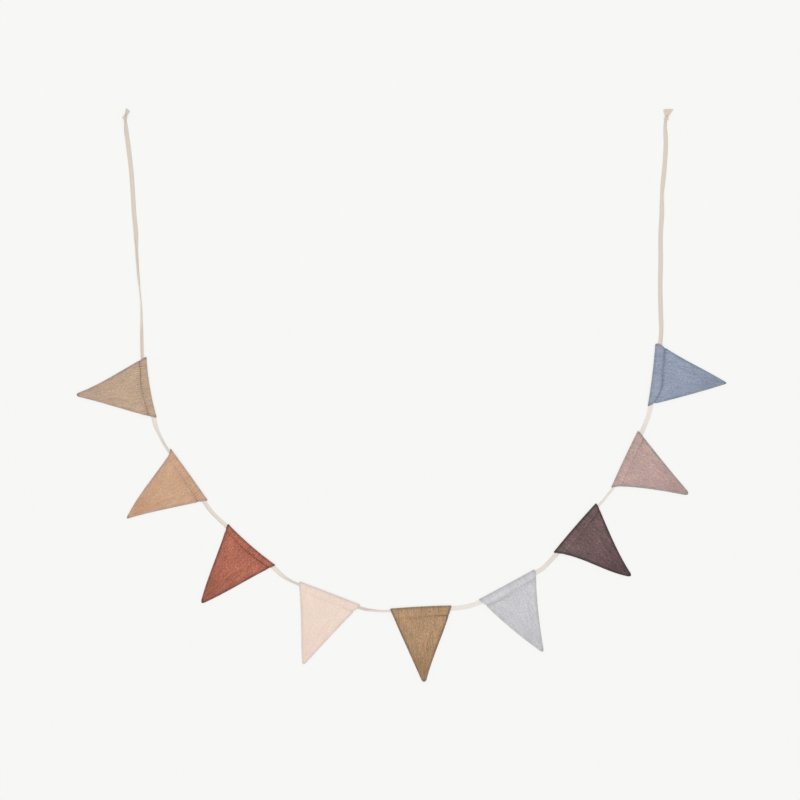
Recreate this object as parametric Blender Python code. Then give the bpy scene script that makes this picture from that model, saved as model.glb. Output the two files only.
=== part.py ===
"""Fabric bunting laid flat: nine double cotton pennants threaded on one tape with a knot at each end.

The tables are in millimetres and degrees, seen from above: X runs along the row of pennants,
Y towards the tape's free ends and Z up. The origin lies on the surface that the bunting rests on,
under the middle of the pennants. Each pennant is a folded and sewn triangle of crinkled cotton gauze:
its top is turned to the back and stitched down, and the tape runs through the casing that this makes.
"""

import math
from collections import namedtuple

import bmesh
import bpy
from mathutils import Vector

MM = 0.001  # metres in a millimetre

# The tape, and the cloth over and under it
TAPE_WIDTH = 10.0
TAPE_THICK = 1.0
FOLD_GAIN = 0.35  # how much thicker the tape gets as it folds lengthwise over itself
CLEARANCE = 0.3  # between the tape and the cloth round it, and between the tape and its knots
FLAP_THICK = 0.8  # the turned-under cloth that lies below the tape
TAPE_LIFT = FLAP_THICK + CLEARANCE  # how high the tape's underside lies in a casing
MOUTH_RUN = 4.0  # how far past the mouth of a casing the tape stays level
TAPE_DEEP = 8.0  # the tape's distance from the fold midway along a casing
TAPE_STEP = 42.0  # longest straight piece of the tape's solid
ROLL_STEP = 16.0  # most that the tape rolls over along one straight piece
CLOTH_THICK = 2.0  # a pennant below its casing: two crinkled layers
BOW_FADES = 60.0  # distance from the fold at which a pennant no longer follows its bowed fold
EAR_REACH = 14.0  # distance from the fold over which a cut-back corner comes back to the side

# A pennant's section from the fold down: distance from the fold, height of the underside and of
# the upper side, and how far the corners are rounded in at each end of that row.
Section = namedtuple("Section", "down under top inset")
CASING_SECTIONS = (
    Section(0.0, 1.0, 2.2, 1.8),
    Section(0.9, 0.2, 3.0, 0.6),
    Section(2.6, 0.0, 3.2, 0.0),
    Section(15.8, 0.0, 3.2, 0.0),
    Section(17.6, 0.0, 2.9, 0.0),
    Section(19.2, 0.0, 2.1, 0.0),  # the row of stitches draws the cloth in
    Section(20.8, 0.0, 2.9, 0.0),
    Section(24.0, 0.0, 2.9, 0.0),  # the flap's edge, on the back
    Section(24.5, 0.9, 2.8, 0.0),
    Section(31.0, 0.0, 2.1, 0.0),
)
BODY_ROWS = 7  # rows of points from the casing to the tip

# How the tip rounds off: distance before its end, and share of the width there
TipRow = namedtuple("TipRow", "before width_share")
TIP_ROWS = (
    TipRow(6.0, 1.00),
    TipRow(2.5, 0.93),
    TipRow(0.8, 0.72),
    TipRow(0.0, 0.35),
)

# Columns of points across a pennant: share of the width from the left side, and the underside and
# the upper side there as shares of the thickness, which round the side edges off.
Column = namedtuple("Column", "across under top")
COLUMNS = (
    Column(0.000, 0.15, 0.60),
    Column(0.014, 0.00, 0.94),
    Column(0.060, 0.00, 1.00),
    Column(0.200, 0.00, 1.00),
    Column(0.350, 0.00, 1.00),
    Column(0.500, 0.00, 1.00),
    Column(0.650, 0.00, 1.00),
    Column(0.800, 0.00, 1.00),
    Column(0.940, 0.00, 1.00),
    Column(0.986, 0.00, 0.94),
    Column(1.000, 0.15, 0.60),
)
RELIEF = 0.22  # depth of the long soft ridges in the crinkled cloth
RIDGE_PITCH = 46.0  # distance between those ridges
RIDGE_WANDER = 5.0  # how far a ridge wanders sideways on its way down
WANDER_LENGTH = 195.0  # distance down the cloth over which it wanders there and back
RELIEF_FADES_IN = 20.0  # distance below the casing over which the ridges rise

# The nine pennants, left to right. x, y and heading place the middle of the fold and the way that it
# runs; the cloth hangs to its right. The sides would meet at length, leaning sideways by lean, and
# the rounded tip ends at tip. A bow is how far a side or the fold curves in at its middle, and a sway
# is the S in a side. An ear is how far the corner at the fold is cut back. tape_in and tape_out are the
# tape's distances from the fold at the two mouths.
Pennant = namedtuple(
    "Pennant",
    "name colour x y heading width length tip lean fold_bow"
    " left_bow left_sway left_ear right_bow right_sway right_ear tape_in tape_out",
)
PENNANTS = (
    Pennant("pennant_sand", "#BDA38C", -550, 275, -80.4, 137, 178, 165, -12.6, 3.5,
            4.3, -1.5, 0.0, 0.7, -1.0, 1.0, 8.8, 6.2),
    Pennant("pennant_caramel", "#C9A285", -466, 82, -54.4, 135, 171, 167.6, -3, -0.6,
            -2.7, 1.6, -3.0, 1.7, -0.6, -1.5, 6.7, 8.0),
    Pennant("pennant_rust", "#AC6A57", -330, -70, -41.0, 140, 174.5, 169, 1.8, 3.1,
            -0.9, 1.2, 1.0, -0.9, 1.0, 0.0, 6.2, 7.0),
    Pennant("pennant_blush", "#EBD5C7", -158, -177, -21.0, 148, 173, 167.3, 1.7, -0.2,
            1.3, 1.1, 3.0, 1.1, 0.6, 2.0, 7.2, 7.0),
    Pennant("pennant_ochre", "#AD8D6D", 42, -208, 3.0, 136, 178, 164.6, -0.3, -1.0,
            -0.2, -0.3, 0.0, 1.3, -1.9, 0.0, 5.6, 6.8),
    Pennant("pennant_grey", "#C7C6CA", 233, -157, 28.4, 142, 174, 168, -2.2, 0.2,
            -4.1, 0.1, -2.0, 4.2, 0.4, 4.5, 7.0, 8.0),
    Pennant("pennant_plum", "#6D595A", 381, -33, 49.2, 146, 170, 162.5, 1.1, -1.2,
            1.5, 3.5, 0.0, 4.7, -0.9, 2.0, 8.0, 8.0),
    Pennant("pennant_mauve", "#BBA099", 491, 119, 64.8, 137, 170, 159, -12.5, -1.0,
            4.5, 0.7, -3.5, 1.5, -0.1, 1.0, 4.4, 9.2),
    Pennant("pennant_blue", "#929AAC", 550, 306, 83.0, 143, 169, 166, -1.5, 1.6,
            -1.6, 0.1, -2.0, 2.1, 1.3, 6.0, 6.2, 10.6),
)

# The tape between the casings, chosen by hand: where its middle lies, how far it rolls to one side, and
# the share of its width that shows, less where it folds lengthwise over itself. The first run is the
# left free end and the last one the right free end.
Stop = namedtuple("Stop", "x y roll wide")
TAPE_RUNS = (
    (Stop(-607.85, 862.8, 15, 0.70), Stop(-605.2, 839, 15, 0.94), Stop(-600.8, 803, 5, 1.00),
     Stop(-595.6, 759, 0, 1.00), Stop(-591.2, 703, 0, 0.95), Stop(-588.7, 659, 0, 1.00),
     Stop(-584.5, 617, 6, 0.97), Stop(-582.5, 574, 15, 0.64), Stop(-579.7, 529, 20, 0.54),
     Stop(-575.6, 486, 20, 0.31), Stop(-573.3, 463, 15, 0.26), Stop(-572.1, 430, 15, 0.46),
     Stop(-571.5, 388, 8, 0.70)),
    (Stop(-541.6, 192, 0, 0.92), Stop(-534.5, 175, 12, 0.70), Stop(-522, 150, 12, 0.60)),
    (Stop(-425, 10, 0, 0.86), Stop(-403, -14, 8, 0.80)),
    (Stop(-270.5, -132, 0, 0.95), Stop(-256.5, -143.3, 10, 0.74), Stop(-240, -152.6, 15, 0.46)),
    (Stop(-80, -213, 10, 0.64), Stop(-61, -215.6, 15, 0.52), Stop(-42, -217.6, 10, 0.52)),
    (Stop(129, -209.8, 0, 1.00), Stop(154, -204.6, 6, 1.00)),
    (Stop(306, -126.6, 8, 0.96), Stop(326, -108, 0, 1.00)),
    (Stop(442, 24, 12, 0.52), Stop(454, 39.5, 12, 0.52)),
    (Stop(532.5, 186, 0, 1.00), Stop(542.5, 211.5, 6, 0.95)),
    (Stop(570.7, 397, 8, 0.85), Stop(570.1, 436, 4, 1.00), Stop(568.9, 490, 0, 1.00),
     Stop(569.7, 552, 6, 1.00), Stop(569.8, 610, 0, 1.00), Stop(572.3, 660, 8, 1.00),
     Stop(572.2, 700, 16, 0.74), Stop(575.6, 733, 6, 1.00), Stop(579.2, 770, 0, 1.00),
     Stop(581.3, 815, 0, 1.00), Stop(580.45, 860.75, 12, 0.72)),
)

# The knots: the middle of the knot's body and the way its tail points, the size of the body, the tilt
# of the band that the tape makes round it, and the tail's length, its width at the knot and at its end.
# The tape's own ends lie the clearance away from them.
Knot = namedtuple("Knot", "name x y heading wide long high band_tilt tail_long tail_neck tail_end")
KNOTS = (
    Knot("knot_left", -608.6, 867.9, 68, 10.6, 10.6, 7.6, 32, 17.0, 6.5, 10.0),
    Knot("knot_right", 581.6, 865.9, 76, 11.6, 10.6, 7.6, -34, 20.0, 6.0, 24.0),
)
BODY_SEGMENTS, BODY_RINGS = 14, 9
BAND_THICK = 3.0  # across the band round a knot
BAND_PROUD = 0.4  # how far the band stands out from the knot's body
BAND_SEGMENTS, BAND_SIDES = 18, 6
TAIL_THICK = 1.6  # the tail's cloth, creased where it spreads
TAIL_ROWS, TAIL_COLUMNS = 5, 6
TAIL_REST = 1.5  # height of the tail's middle where it lies on the surface
TAIL_FLARE = 1.5  # power by which the tail widens towards its end
TAIL_CURL = 1.2  # how far the middle of the tail's end reaches past its corners
TAIL_RIPPLE = 0.6  # depth of the three creases in the tail
MIDDLE_Y = -0.65  # the middle of the pennants' box in the tables above, brought over the origin
TAPE_COLOUR = "#DACFC4"
CLOTH_ROUGHNESS = 0.9


def linear(hex_colour):
    """An sRGB hex colour as linear red, green, blue and alpha."""
    parts = [int(hex_colour[i:i + 2], 16) / 255 for i in (1, 3, 5)]
    return [c / 12.92 if c <= 0.04045 else ((c + 0.055) / 1.055) ** 2.4 for c in parts] + [1.0]


def cloth_material(name, hex_colour):
    material = bpy.data.materials.new(name)
    material.use_nodes = True
    shader = material.node_tree.nodes["Principled BSDF"]
    shader.inputs["Base Color"].default_value = linear(hex_colour)
    shader.inputs["Roughness"].default_value = CLOTH_ROUGHNESS
    shader.inputs["Metallic"].default_value = 0.0
    return material


def side_at(pennant, down, hand):
    """Where a side lies, measured along the fold from its middle; hand is -1 on the left, 1 on the right."""
    share = down / pennant.length
    bow = pennant.left_bow if hand < 0 else pennant.right_bow
    sway = pennant.left_sway if hand < 0 else pennant.right_sway
    inward = share * (1 - share) * (4 * bow + 10 * (1 - 2 * share) * sway)
    half = pennant.width / 2
    slant = math.hypot(pennant.length, half) / pennant.length
    ear = pennant.left_ear if hand < 0 else pennant.right_ear
    cut_back = ear * max(0.0, 1 - down / EAR_REACH) ** 2
    return hand * half + (pennant.lean - hand * half) * share - hand * (inward * slant + cut_back)


def fold_at(pennant, along, down):
    """How far the bowed fold shifts a point down, for a point that far along and down."""
    share = min(max(along / pennant.width + 0.5, 0.0), 1.0)
    return 4 * share * (1 - share) * pennant.fold_bow * max(0.0, 1 - down / BOW_FADES)


def row_table(pennant):
    """The pennant's rows from fold to tip: distance down, underside, top, corner inset, width share."""
    rows = [(s.down, s.under, s.top, s.inset, 1.0) for s in CASING_SECTIONS]
    first = CASING_SECTIONS[-1].down
    last = pennant.tip - TIP_ROWS[0].before
    for i in range(1, BODY_ROWS):
        rows.append((first + (last - first) * i / BODY_ROWS, 0.0, CLOTH_THICK, 0.0, 1.0))
    for tip in TIP_ROWS:
        rows.append((pennant.tip - tip.before, 0.0, CLOTH_THICK, 0.0, tip.width_share))
    return rows


def relief(pennant, along, down):
    """Height of the long soft ridges that run down the crinkled cloth from the casing."""
    start = pennant.x / RIDGE_PITCH  # so that no two pennants have the same ridges
    wander = RIDGE_WANDER * math.sin(2 * math.pi * down / WANDER_LENGTH + start)
    fade = min(1.0, max(0.0, (down - CASING_SECTIONS[-1].down) / RELIEF_FADES_IN))
    return RELIEF * fade * math.sin(2 * math.pi * (along + wander) / RIDGE_PITCH + start)


def slab(name, rows, columns, point, heights):
    """A closed solid from a grid: point(row, column) places it and heights(row, column) gives both faces."""
    mesh = bmesh.new()
    bmesh.ops.create_grid(mesh, x_segments=len(columns) - 1, y_segments=len(rows) - 1, size=0.5)
    lower = list(mesh.verts)
    raised = bmesh.ops.extrude_face_region(mesh, geom=mesh.faces[:], use_keep_orig=True)
    upper = {v.co.to_tuple(5): v for v in raised["geom"] if isinstance(v, bmesh.types.BMVert)}
    for low in lower:
        high = upper[low.co.to_tuple(5)]
        column = columns[round((low.co.x + 0.5) * (len(columns) - 1))]
        row = rows[round((0.5 - low.co.y) * (len(rows) - 1))]
        x, y = point(row, column)
        under, top = heights(row, column)
        low.co = Vector((x, y, under)) * MM
        high.co = Vector((x, y, top)) * MM
    bmesh.ops.recalc_face_normals(mesh, faces=mesh.faces)
    data = bpy.data.meshes.new(name)
    mesh.to_mesh(data)
    mesh.free()
    return bpy.data.objects.new(name, data)


def make_pennant(pennant, collection, channel):
    """One pennant in its own frame: x along the fold, y up from it, with the tape's channel cut through."""

    def point(row, column):
        down, _, _, inset, width_share = row
        left = side_at(pennant, down, -1) + inset
        right = side_at(pennant, down, 1) - inset
        middle = (left + right) / 2
        along = middle + (left - middle + (right - left) * column.across) * width_share
        return along, -(down + fold_at(pennant, along, down))

    def heights(row, column):
        down, under, top, _, _ = row
        if down < CASING_SECTIONS[-2].down:
            return under, top
        full = top + relief(pennant, point(row, column)[0], down)
        return max(under, full * column.under), full * column.top

    piece = slab(pennant.name, row_table(pennant), COLUMNS, point, heights)
    piece.location = Vector((pennant.x, pennant.y, 0.0)) * MM
    piece.rotation_euler.z = math.radians(pennant.heading)
    piece.data.materials.append(cloth_material(pennant.name.replace("pennant", "gauze"), pennant.colour))
    collection.objects.link(piece)
    cut = piece.modifiers.new("casing_channel", "BOOLEAN")
    cut.operation = "DIFFERENCE"
    cut.object = channel
    return piece


def on_pennant(pennant, along, down):
    """A place on a pennant, in the bunting's frame."""
    heading = math.radians(pennant.heading)
    forward = Vector((math.cos(heading), math.sin(heading)))
    across = Vector((math.sin(heading), -math.cos(heading)))
    return Vector((pennant.x, pennant.y)) + forward * along + across * down


def casing_stops(pennant, wide_in, wide_out):
    """The tape's places just past each mouth of a casing and midway in it, with roll, lift and width."""
    enter = side_at(pennant, pennant.tape_in, -1) - MOUTH_RUN
    leave = side_at(pennant, pennant.tape_out, 1) + MOUTH_RUN
    return [
        (on_pennant(pennant, enter, pennant.tape_in), 0.0, TAPE_LIFT, wide_in),
        (on_pennant(pennant, 0.0, TAPE_DEEP + pennant.fold_bow), 0.0, TAPE_LIFT, 1.0),
        (on_pennant(pennant, leave, pennant.tape_out), 0.0, TAPE_LIFT, wide_out),
    ]


def tape_route():
    """Every place that the tape passes, from the left knot to the right one, with roll, lift and width."""
    stops = []
    for i, run in enumerate(TAPE_RUNS):
        stops += [(Vector((s.x, s.y)), s.roll, 0.0, s.wide) for s in run]
        if i < len(PENNANTS):
            stops += casing_stops(PENNANTS[i], run[-1].wide, TAPE_RUNS[i + 1][0].wide)
    return stops


def eased(start, end, share):
    return start + (end - start) * share * share * (3 - 2 * share)


def tape_section(wide, grow):
    """The tape's outline, cut across, as distances across and up from its middle, grown on every side."""
    half_wide = TAPE_WIDTH * wide / 2 + grow
    half_thick = TAPE_THICK * (1 + FOLD_GAIN * (1 / wide - 1)) / 2 + grow
    corner = ((half_wide, half_thick * 0.4), (half_wide - half_thick * 0.6, half_thick))
    upper = list(corner) + [(-across, up) for across, up in reversed(corner)]
    return upper + [(-across, -up) for across, up in upper]


def resting_height(roll, wide):
    """How high the tape's middle is when its lowest edge lies on the surface."""
    return max(across * math.sin(roll) + up * math.cos(roll) for across, up in tape_section(wide, 0.0))


def smooth_line(stops):
    """Points on a smooth curve through the stops, each with its height, roll and share of full width."""
    places = [stops[0][0] * 2 - stops[1][0]] + [s[0] for s in stops] + [stops[-1][0] * 2 - stops[-2][0]]
    line = []
    for i in range(len(stops) - 1):
        a, b, c, d = places[i:i + 4]
        turn = abs(stops[i + 1][1] - stops[i][1])
        steps = max(1, math.ceil((c - b).length / TAPE_STEP), math.ceil(turn / ROLL_STEP))
        for k in range(steps + (i == len(stops) - 2)):
            t = k / steps
            place = 0.5 * (2 * b + (c - a) * t + (2 * a - 5 * b + 4 * c - d) * t ** 2
                           + (3 * b - a - 3 * c + d) * t ** 3)
            roll, lift, wide = (eased(stops[i][n], stops[i + 1][n], t) for n in (1, 2, 3))
            roll = math.radians(roll)
            line.append((place, lift + resting_height(roll, wide), roll, wide))
    return line


def ribbon(name, line, grow, collection):
    """The tape along the line as one closed solid, grown by that much on every side."""
    mesh = bmesh.new()
    rings = []
    for i, (place, height, roll, wide) in enumerate(line):
        ahead = (line[min(i + 1, len(line) - 1)][0] - line[max(i - 1, 0)][0]).normalized()
        level = Vector((ahead.y, -ahead.x, 0.0))
        upright = Vector((0.0, 0.0, 1.0))
        across = level * math.cos(roll) + upright * math.sin(roll)
        up = upright * math.cos(roll) - level * math.sin(roll)
        middle = Vector((place.x, place.y, height))
        section = tape_section(wide, grow)
        rings.append([mesh.verts.new((middle + across * a + up * u) * MM) for a, u in section])
    for ring, following in zip(rings, rings[1:]):
        for k in range(len(ring)):
            after = (k + 1) % len(ring)
            mesh.faces.new((ring[k], ring[after], following[after], following[k]))
    for end in (rings[0], rings[-1]):
        mesh.faces.new(end)
    bmesh.ops.recalc_face_normals(mesh, faces=mesh.faces)
    data = bpy.data.meshes.new(name)
    mesh.to_mesh(data)
    mesh.free()
    piece = bpy.data.objects.new(name, data)
    collection.objects.link(piece)
    return piece


def as_cutter(piece):
    piece.hide_render = True
    piece.display_type = "WIRE"
    return piece


def make_knot(knot, collection, cutters):
    """A knot: a pressed round body, the band of tape round it, and the tail that spreads from it."""
    mesh = bmesh.new()
    bmesh.ops.create_uvsphere(mesh, u_segments=BODY_SEGMENTS, v_segments=BODY_RINGS, radius=0.5)
    bmesh.ops.scale(mesh, vec=Vector((knot.long, knot.wide, knot.high)) * MM, verts=mesh.verts)
    data = bpy.data.meshes.new(knot.name)
    mesh.to_mesh(data)
    mesh.free()
    body = bpy.data.objects.new(knot.name, data)
    squash = knot.high / knot.wide
    body.location = Vector((knot.x, knot.y, knot.high / 2 + BAND_PROUD * squash)) * MM
    body.rotation_euler.z = math.radians(knot.heading)
    body.data.materials.append(cloth_material(knot.name.replace("knot", "tape_knot"), TAPE_COLOUR))
    collection.objects.link(body)

    bpy.ops.mesh.primitive_torus_add(
        major_segments=BAND_SEGMENTS, minor_segments=BAND_SIDES, minor_radius=BAND_THICK / 2 * MM,
        major_radius=(knot.wide / 2 + BAND_PROUD - BAND_THICK / 2) * MM,
    )
    band = bpy.context.object
    band.name = knot.name + "_band"
    band.location = body.location
    band.rotation_euler = (0.0, math.radians(90), math.radians(knot.heading + knot.band_tilt))
    band.scale = (squash, 1.0, 1.0)

    rows = [i / TAIL_ROWS for i in range(TAIL_ROWS + 1)]
    columns = [i / TAIL_COLUMNS for i in range(TAIL_COLUMNS + 1)]

    def point(row, column):
        wide = knot.tail_neck + (knot.tail_end - knot.tail_neck) * row ** TAIL_FLARE
        curl = TAIL_CURL * math.sin(column * math.pi) * row
        return row * knot.tail_long + curl, wide * (0.5 - column)

    def heights(row, column):
        middle = TAIL_REST + (knot.high / 2 - TAIL_REST) * (1 - row) ** 2
        ripple = TAIL_RIPPLE * row * math.sin(column * 3 * math.pi)
        return middle + ripple - TAIL_THICK / 2, middle + ripple + TAIL_THICK / 2

    tail = slab(knot.name + "_tail", rows, columns, point, heights)
    tail.location = Vector((knot.x, knot.y, 0.0)) * MM
    tail.rotation_euler.z = body.rotation_euler.z
    for piece in (band, tail):
        for owner in list(piece.users_collection):
            owner.objects.unlink(piece)
        cutters.objects.link(as_cutter(piece))
        join = body.modifiers.new(piece.name, "BOOLEAN")
        join.operation = "UNION"
        join.object = piece
    return body


def main():
    for old in list(bpy.data.objects):
        bpy.data.objects.remove(old)
    parts = bpy.data.collections.new("fabric_bunting")
    cutters = bpy.data.collections.new("cutters")
    for group in (parts, cutters):
        bpy.context.scene.collection.children.link(group)

    line = smooth_line(tape_route())
    channel = as_cutter(ribbon("casing_channel", line, CLEARANCE, cutters))
    tape = ribbon("tape", line, 0.0, parts)
    tape.data.materials.append(cloth_material("tape", TAPE_COLOUR))
    pieces = [make_pennant(pennant, parts, channel) for pennant in PENNANTS]
    pieces += [make_knot(knot, parts, cutters) for knot in KNOTS]

    bunting = bpy.data.objects.new("bunting", None)
    bunting.location.y = -MIDDLE_Y * MM
    parts.objects.link(bunting)
    for piece in pieces + [tape] + list(cutters.objects):
        piece.parent = bunting


main()
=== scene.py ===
"""The looks of the fabric bunting: crinkled double gauze pennants, their stitches, the tape and its knots.

The tables are in millimetres and degrees, seen from above: X runs along the row of pennants, Y towards
the tape's free ends and Z up from the surface that the bunting lies on.
"""

import math
from collections import namedtuple

import bmesh
import bpy
import numpy as np
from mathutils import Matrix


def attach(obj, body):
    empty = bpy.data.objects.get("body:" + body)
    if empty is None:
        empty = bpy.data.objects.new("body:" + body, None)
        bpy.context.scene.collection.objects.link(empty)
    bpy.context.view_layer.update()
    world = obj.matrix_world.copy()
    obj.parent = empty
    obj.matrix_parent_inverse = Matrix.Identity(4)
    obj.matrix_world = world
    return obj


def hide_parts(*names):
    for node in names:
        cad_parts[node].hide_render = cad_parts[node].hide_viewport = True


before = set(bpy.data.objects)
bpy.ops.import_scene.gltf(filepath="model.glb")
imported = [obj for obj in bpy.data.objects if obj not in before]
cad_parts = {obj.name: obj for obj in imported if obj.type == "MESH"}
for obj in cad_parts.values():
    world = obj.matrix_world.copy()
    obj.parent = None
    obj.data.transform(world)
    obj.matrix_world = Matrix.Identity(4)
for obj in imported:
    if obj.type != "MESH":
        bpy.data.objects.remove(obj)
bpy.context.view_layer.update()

MM = 0.001  # metres in a millimetre
WAVE_TURN = 0.314  # the scale at which a wave texture's bands lie one unit apart
MIDDLE_Y = -0.65  # the middle of the pennants' box in the tables, brought over the origin

# The view: straight down, with the photograph's frame and its size on the floor
FRAME_PIXELS = 800
PIXEL_SIZE = 2.2
VIEW_CENTRE = (-3.5, 247.9)
LENS = 85.0
SENSOR = 36.0

# The floor and the lights
FLOOR_SIZE = 9000.0
FLOOR_COLOUR = "#A2A2A1"
FLOOR_CLOUD = "#A4A4A2"
FLOOR_GLOW = 0.548  # the light that comes up through the floor, as a share of white
GLOW_COLOUR = "#FFFFFD"
SKY_COLOUR = "#FFFFFF"
SKY_STRENGTH = 0.86
KEY_STRENGTH = 0.74  # watts on each square metre
KEY_TILT = (42.0, 0.0, -38.0)  # from the upper left
KEY_SPREAD = 36.0  # a soft source

COTTON_IOR = 1.53
DRY_SPECULAR = 0.15  # loose fibres hardly mirror the light

# The tape, and the cloth over and under it
TAPE_WIDTH = 10.0
TAPE_THICK = 0.5
TAPE_LIFT = 1.1  # how high the tape's underside lies in a casing
MOUTH_RUN = 4.0  # how far past the mouth of a casing the tape stays level
TAPE_DEEP = 8.0  # the tape's distance from the fold midway along a casing
TAPE_STEP = 4.0
TAPE_SOFTENED = 3  # times that each place is drawn towards its neighbours
FOLD_ARC = 0.95  # the length of tape that bends round where it folds lengthwise over itself
SELVEDGE = 0.6  # how far in the tape's firmer edges are thickest
SELVEDGE_WIDE = 0.35
SELVEDGE_RISE = 0.3  # how much thicker they are, as a share
EDGE_SOFT = 0.4  # how far in the tape's rounded edge reaches
TAPE_COLUMNS = 41  # points across the tape
ENTRY_SHARE = 0.7  # how far from its own end towards a knot's middle the tape runs in
ENTRY_WIDE = 0.48
ENTRY_LIFT = 0.9
BOW_FADES = 60.0  # a pennant follows its bowed fold down to here
EAR_REACH = 14.0  # a cut-back corner comes back to the side here
CORNER_ROUND = 1.8  # how far back the casing's corners at the fold are rounded

# Rows of points down a pennant: how far each band of rows reaches from the fold, and its spacing
Band = namedtuple("Band", "until step")
FOLD_ROUND = 2.6  # how far down the fold's roundness reaches
STITCH_ROW = 19.2  # where a level row of stitches would lie
FLAP_EDGE = 24.0  # the turned-under cloth ends here, on the back
FLAT_FROM = 31.0  # from here down the whole pennant lies on the surface
TUNNEL = (1.5, 17.4)  # where the casing's inside begins and ends, down from the fold
BANDS = (
    Band(0.6, 0.2), Band(FOLD_ROUND, 0.5), Band(TUNNEL[1], 0.93), Band(STITCH_ROW, 0.45), Band(21.0, 0.45),
    Band(FLAP_EDGE, 0.75), Band(24.5, 0.25), Band(FLAT_FROM, 1.0),
)
BODY_STEP = 1.5
TIP_RUN = 6.0  # the tip rounds off over this length
TIP_STEP = 0.5
TIP_BLUNT = 0.3
TIP_POWER = 2.4  # above 2, the tip is blunter than a circle's
COLUMNS = 124
EDGE_CROWDING = 0.35  # share of the columns that crowds towards the two sides

# Heights of the casing: distance from the fold, underside, upper side
Height = namedtuple("Height", "down under top")
HEIGHTS = [Height(*row) for row in (
    (0.0, 0.0, 3.2), (15.8, 0.0, 3.2), (17.6, 0.0, 2.9), (18.6, 0.15, 2.35),
    (19.2, 0.35, 2.1), (19.8, 0.15, 2.4), (21.0, 0.0, 2.9), (24.0, 0.0, 2.9),
    (24.5, 0.9, 2.75), (27.0, 0.5, 2.4), (31.0, 0.0, 2.05), (400.0, 0.0, 2.0),
)]
MID_HEIGHT = 1.6  # of the casing, where its inside closes at the fold and at the stitches
CEILING_RISE = 0.80
FLOOR_DROP = 0.75

# The nine pennants, left to right. x, y and heading place the middle of the fold and the way that it
# runs; the cloth hangs to its right. The sides would meet at length, leaning sideways by lean, and the
# rounded tip ends at tip. A bow is how far a side or the fold curves in, and a sway is the S in a side.
# An ear is how far the corner at the fold is cut back. tape_in and tape_out are the tape's distances
# from the fold at the two mouths.
Pennant = namedtuple(
    "Pennant",
    "name x y heading width length tip lean fold_bow"
    " left_bow left_sway left_ear right_bow right_sway right_ear tape_in tape_out",
)
PENNANTS = [Pennant(*row) for row in (
    ("sand", -550, 275, -80.4, 137, 178, 165, -12.6, 3.5, 4.3, -1.5, 0, 0.7, -1, 1, 8.8, 6.2),
    ("caramel", -466, 82, -54.4, 135, 171, 167.6, -3, -0.6, -2.7, 1.6, -5.5, 1.7, -0.6, -1.5, 6.7, 8),
    ("rust", -330, -70, -41, 140, 174.5, 169, 1.8, 3.1, -0.9, 1.2, 1, -0.9, 1, 0, 6.2, 7),
    ("blush", -158, -177, -21, 148, 173, 167.3, 1.7, -0.2, 1.3, 1.1, 3, 1.1, 0.6, 2, 7.2, 7),
    ("ochre", 42, -208, 3, 136, 178, 164.6, -0.3, -1, -0.2, -0.3, 0, 1.3, -1.9, 0, 5.6, 6.8),
    ("grey", 233, -157, 28.4, 142, 174, 168, -2.2, 0.2, -4.1, 0.1, -2, 4.2, 0.4, 4.5, 7, 8),
    ("plum", 381, -33, 49.2, 146, 170, 162.5, 1.1, -1.2, 1.5, 3.5, 0, 4.7, -0.9, 2, 8, 8),
    ("mauve", 491, 119, 64.8, 137, 170, 159, -12.5, -1, 4.5, 0.7, -3.5, 1.5, -0.1, 1, 4.4, 9.2),
    ("blue", 550, 306, 83, 143, 169, 166, -1.5, 1.6, -1.6, 0.1, -2, 2.1, 1.3, 6, 6.2, 10.6),
)]

# The dyes: the body of the cloth, its tip, where the seams are packed behind it, the painted shade of its
# turned rim, and the thread that it is sewn with. Then how strongly the rim's painted shade shows at the
# two sides and at the fold, how far the corners and the very tip are darker, and how much the weave, with
# the crinkles' painted shade, and the drifts in the dye show.
Dye = namedtuple("Dye", "body tip rim thread rim_left rim_right rim_fold ends weave drift")
DYES = {
    "sand": Dye("#BEA48D", "#B89D8C", "#A8968A", "#A68C77", 1, 0.7, 0.3, 0.34, 0.72, 0.7),
    "caramel": Dye("#CAA386", "#C19578", "#B79C8B", "#CCA78B", 1, 0.9, 0.7, 0.32, 0.58, 0.9),
    "rust": Dye("#B06B58", "#9A5D4B", "#80554C", "#9A5B4B", 0.9, 0.9, 0.7, 0.50, 1.20, 1.1),
    "blush": Dye("#EBD6C8", "#EAD2C5", "#DCCBC4", "#F1E0D5", 0.9, 0.8, 0.9, 0.08, 0.24, 0.4),
    "ochre": Dye("#AF8E6E", "#9B7B5A", "#8C7561", "#A98A6B", 1, 1, 0.8, 0.16, 0.98, 1),
    "grey": Dye("#C8C7CB", "#BFBFC2", "#B4B4B6", "#CBCACE", 0.4, 0.5, 0.6, 0.18, 0.45, 0.3),
    "plum": Dye("#6E5959", "#5A474A", "#473D3E", "#665253", 0.9, 0.8, 0.9, 0.38, 1.35, 1.1),
    "mauve": Dye("#BA9F99", "#AD918D", "#A09490", "#BBA19B", 0.9, 1, 0.6, 0.20, 0.74, 0.9),
    "blue": Dye("#949DB0", "#858EA0", "#85909C", "#858DA0", 0.8, 0.8, 0.8, 0.26, 0.75, 0.5),
}
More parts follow.
